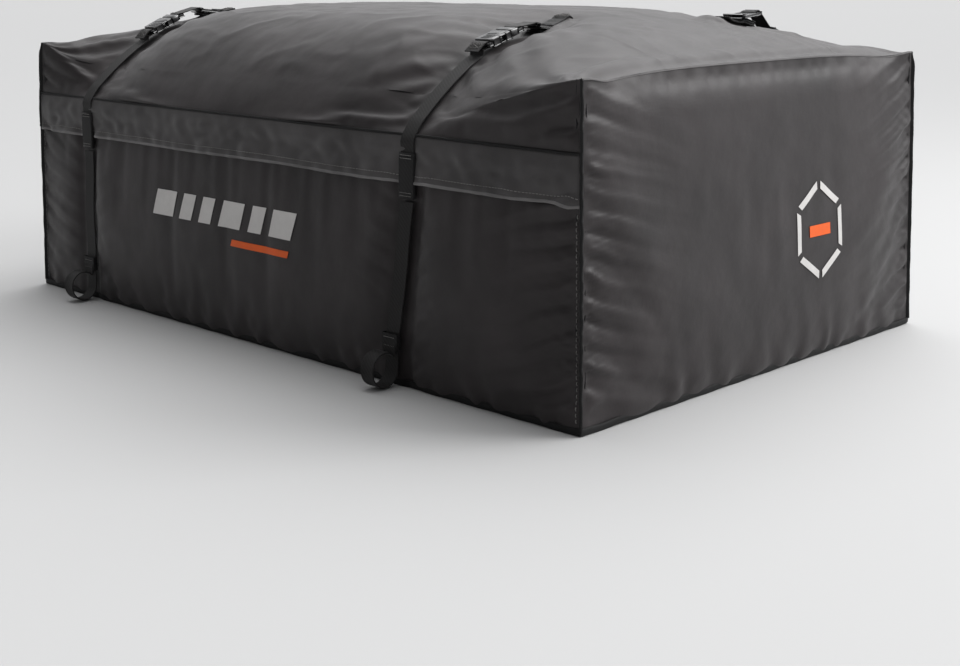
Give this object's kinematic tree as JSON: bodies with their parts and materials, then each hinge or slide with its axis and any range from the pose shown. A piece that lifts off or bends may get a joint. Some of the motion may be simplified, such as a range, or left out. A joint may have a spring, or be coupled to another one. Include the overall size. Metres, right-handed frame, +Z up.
{
  "type": "soft rooftop cargo bag",
  "caption": "Soft-sided rooftop cargo bag with a hinged zip lid, storm flaps and buckled webbing straps that loop round the roof rails.",
  "frame": {"origin": "middle of the overall box at the level the bag rests on", "axes": "+X towards the front end, along the length; +Y to the left side; +Z up"},
  "size_m": [1.2562, 0.909, 0.4878],
  "materials": {
    "shell_fabric": "coated polyester, matte with a slight sheen",
    "webbing": "woven polyester webbing",
    "binding": "grosgrain binding tape",
    "buckle_plastic": "moulded acetal, satin",
    "zip_coil": "nylon coil on woven tape",
    "zip_metal": "black enamelled slider",
    "hook_and_loop": "hook and loop tape"
  },
  "bodies": {
    "tub": {"base_panel": "shell_fabric", "right_side_panel": "shell_fabric", "left_side_panel": "shell_fabric", "rear_panel": "shell_fabric", "front_panel": "shell_fabric", "tub_corner_seams": "binding", "base_binding": "binding", "hinge_tape": "binding", "lower_zip_chain": "zip_coil", "hook_strips": "hook_and_loop"},
    "lid": {"lid_top_panel": "shell_fabric", "lid_right_band": "shell_fabric", "lid_left_band": "shell_fabric", "lid_rear_band": "shell_fabric", "lid_corner_seams": "binding", "upper_zip_chain": "zip_coil", "storm_flap_right": "shell_fabric", "storm_flap_left": "shell_fabric", "loop_strips": "hook_and_loop", "strap_keepers": "webbing", "lid_anchors": "webbing", "shoulder_strap_right_front": "webbing", "shoulder_strap_right_rear": "webbing", "shoulder_strap_left_front": "webbing", "shoulder_strap_left_rear": "webbing", "buckle_socket_right_front": "buckle_plastic", "buckle_socket_right_rear": "buckle_plastic", "buckle_socket_left_front": "buckle_plastic", "buckle_socket_left_rear": "buckle_plastic"},
    "rear_flap": {"storm_flap_rear": "shell_fabric", "loop_strip_rear": "hook_and_loop"},
    "slider_right": {"zip_slider_right": "zip_metal", "zip_pull_right": "zip_metal"},
    "slider_left": {"zip_slider_left": "zip_metal", "zip_pull_left": "zip_metal"},
    "strap_right_front": {"rail_strap_right_front": "webbing"},
    "latch_right_front": {"buckle_plug_right_front": "buckle_plastic", "ladder_lock_right_front": "buckle_plastic", "tail_web_right_front": "webbing"},
    "prong_a_right_front": {"prong_a_right_front": "buckle_plastic"},
    "prong_b_right_front": {"prong_b_right_front": "buckle_plastic"},
    "strap_right_rear": {"rail_strap_right_rear": "webbing"},
    "latch_right_rear": {"buckle_plug_right_rear": "buckle_plastic", "ladder_lock_right_rear": "buckle_plastic", "tail_web_right_rear": "webbing"},
    "prong_a_right_rear": {"prong_a_right_rear": "buckle_plastic"},
    "prong_b_right_rear": {"prong_b_right_rear": "buckle_plastic"},
    "strap_left_front": {"rail_strap_left_front": "webbing"},
    "latch_left_front": {"buckle_plug_left_front": "buckle_plastic", "ladder_lock_left_front": "buckle_plastic", "tail_web_left_front": "webbing"},
    "prong_a_left_front": {"prong_a_left_front": "buckle_plastic"},
    "prong_b_left_front": {"prong_b_left_front": "buckle_plastic"},
    "strap_left_rear": {"rail_strap_left_rear": "webbing"},
    "latch_left_rear": {"buckle_plug_left_rear": "buckle_plastic", "ladder_lock_left_rear": "buckle_plastic", "tail_web_left_rear": "webbing"},
    "prong_a_left_rear": {"prong_a_left_rear": "buckle_plastic"},
    "prong_b_left_rear": {"prong_b_left_rear": "buckle_plastic"}
  },
  "joints": [
    {"name": "lid_hinge", "type": "hinge", "parent": "tub", "child": "lid", "pos_m": [0.607, 0, 0.42], "axis": [0, 1, 0], "range_deg": [0, 110]},
    {"name": "rear_flap_lift", "type": "hinge", "parent": "lid", "child": "rear_flap", "pos_m": [-0.61444, 0, 0.339], "axis": [0, 1, 0], "range_deg": [0, 120]},
    {"name": "slider_right_slide", "type": "slide", "parent": "tub", "child": "slider_right", "axis": [0, -1, 0], "range_m": [0, 0.335]},
    {"name": "slider_left_slide", "type": "slide", "parent": "tub", "child": "slider_left", "axis": [0, 1, 0], "range_m": [0, 0.335]},
    {"name": "strap_swing_right_front", "type": "hinge", "parent": "lid", "child": "strap_right_front", "pos_m": [0.322, -0.39891, 0.2545], "axis": [-1, 0, 0], "range_deg": [0, 90]},
    {"name": "buckle_slide_right_front", "type": "slide", "parent": "lid", "child": "latch_right_front", "axis": [0, 0.9573, 0.2892], "range_m": [0, 0.03]},
    {"name": "prong_a_squeeze_right_front", "type": "hinge", "parent": "latch_right_front", "child": "prong_a_right_front", "pos_m": [0.31125, -0.21873, 0.46171], "axis": [0, -0.2892, 0.9573], "range_deg": [0, 6], "stiffness_Nm_per_rad": 0.02},
    {"name": "prong_b_squeeze_right_front", "type": "hinge", "parent": "latch_right_front", "child": "prong_b_right_front", "pos_m": [0.33275, -0.21873, 0.46171], "axis": [0, -0.2892, 0.9573], "range_deg": [-6, 0], "stiffness_Nm_per_rad": 0.02},
    {"name": "strap_swing_right_rear", "type": "hinge", "parent": "lid", "child": "strap_right_rear", "pos_m": [-0.456, -0.39891, 0.2545], "axis": [-1, 0, 0], "range_deg": [0, 90]},
    {"name": "buckle_slide_right_rear", "type": "slide", "parent": "lid", "child": "latch_right_rear", "axis": [0, 0.9177, 0.3972], "range_m": [0, 0.03]},
    {"name": "prong_a_squeeze_right_rear", "type": "hinge", "parent": "latch_right_rear", "child": "prong_a_right_rear", "pos_m": [-0.46675, -0.23185, 0.46084], "axis": [0, -0.3972, 0.9177], "range_deg": [0, 6], "stiffness_Nm_per_rad": 0.02},
    {"name": "prong_b_squeeze_right_rear", "type": "hinge", "parent": "latch_right_rear", "child": "prong_b_right_rear", "pos_m": [-0.44525, -0.23185, 0.46084], "axis": [0, -0.3972, 0.9177], "range_deg": [-6, 0], "stiffness_Nm_per_rad": 0.02},
    {"name": "strap_swing_left_front", "type": "hinge", "parent": "lid", "child": "strap_left_front", "pos_m": [0.44, 0.39891, 0.2545], "axis": [1, 0, 0], "range_deg": [0, 90]},
    {"name": "buckle_slide_left_front", "type": "slide", "parent": "lid", "child": "latch_left_front", "axis": [0, -0.8889, 0.4581], "range_m": [0, 0.03]},
    {"name": "prong_a_squeeze_left_front", "type": "hinge", "parent": "latch_left_front", "child": "prong_a_left_front", "pos_m": [0.42925, 0.2609, 0.44749], "axis": [0, 0.4581, 0.8889], "range_deg": [-6, 0], "stiffness_Nm_per_rad": 0.02},
    {"name": "prong_b_squeeze_left_front", "type": "hinge", "parent": "latch_left_front", "child": "prong_b_left_front", "pos_m": [0.45075, 0.2609, 0.44749], "axis": [0, 0.4581, 0.8889], "range_deg": [0, 6], "stiffness_Nm_per_rad": 0.02},
    {"name": "strap_swing_left_rear", "type": "hinge", "parent": "lid", "child": "strap_left_rear", "pos_m": [-0.456, 0.39891, 0.2545], "axis": [1, 0, 0], "range_deg": [0, 90]},
    {"name": "buckle_slide_left_rear", "type": "slide", "parent": "lid", "child": "latch_left_rear", "axis": [0, -0.9235, 0.3835], "range_m": [0, 0.03]},
    {"name": "prong_a_squeeze_left_rear", "type": "hinge", "parent": "latch_left_rear", "child": "prong_a_left_rear", "pos_m": [-0.46675, 0.22542, 0.46346], "axis": [0, 0.3835, 0.9235], "range_deg": [-6, 0], "stiffness_Nm_per_rad": 0.02},
    {"name": "prong_b_squeeze_left_rear", "type": "hinge", "parent": "latch_left_rear", "child": "prong_b_left_rear", "pos_m": [-0.44525, 0.22542, 0.46346], "axis": [0, 0.3835, 0.9235], "range_deg": [0, 6], "stiffness_Nm_per_rad": 0.02}
  ],
  "couplings": [
    {"joint": "prong_b_squeeze_right_front", "follows": "prong_a_squeeze_right_front", "ratio": -1},
    {"joint": "prong_b_squeeze_right_rear", "follows": "prong_a_squeeze_right_rear", "ratio": -1},
    {"joint": "prong_b_squeeze_left_front", "follows": "prong_a_squeeze_left_front", "ratio": -1},
    {"joint": "prong_b_squeeze_left_rear", "follows": "prong_a_squeeze_left_rear", "ratio": -1}
  ]
}
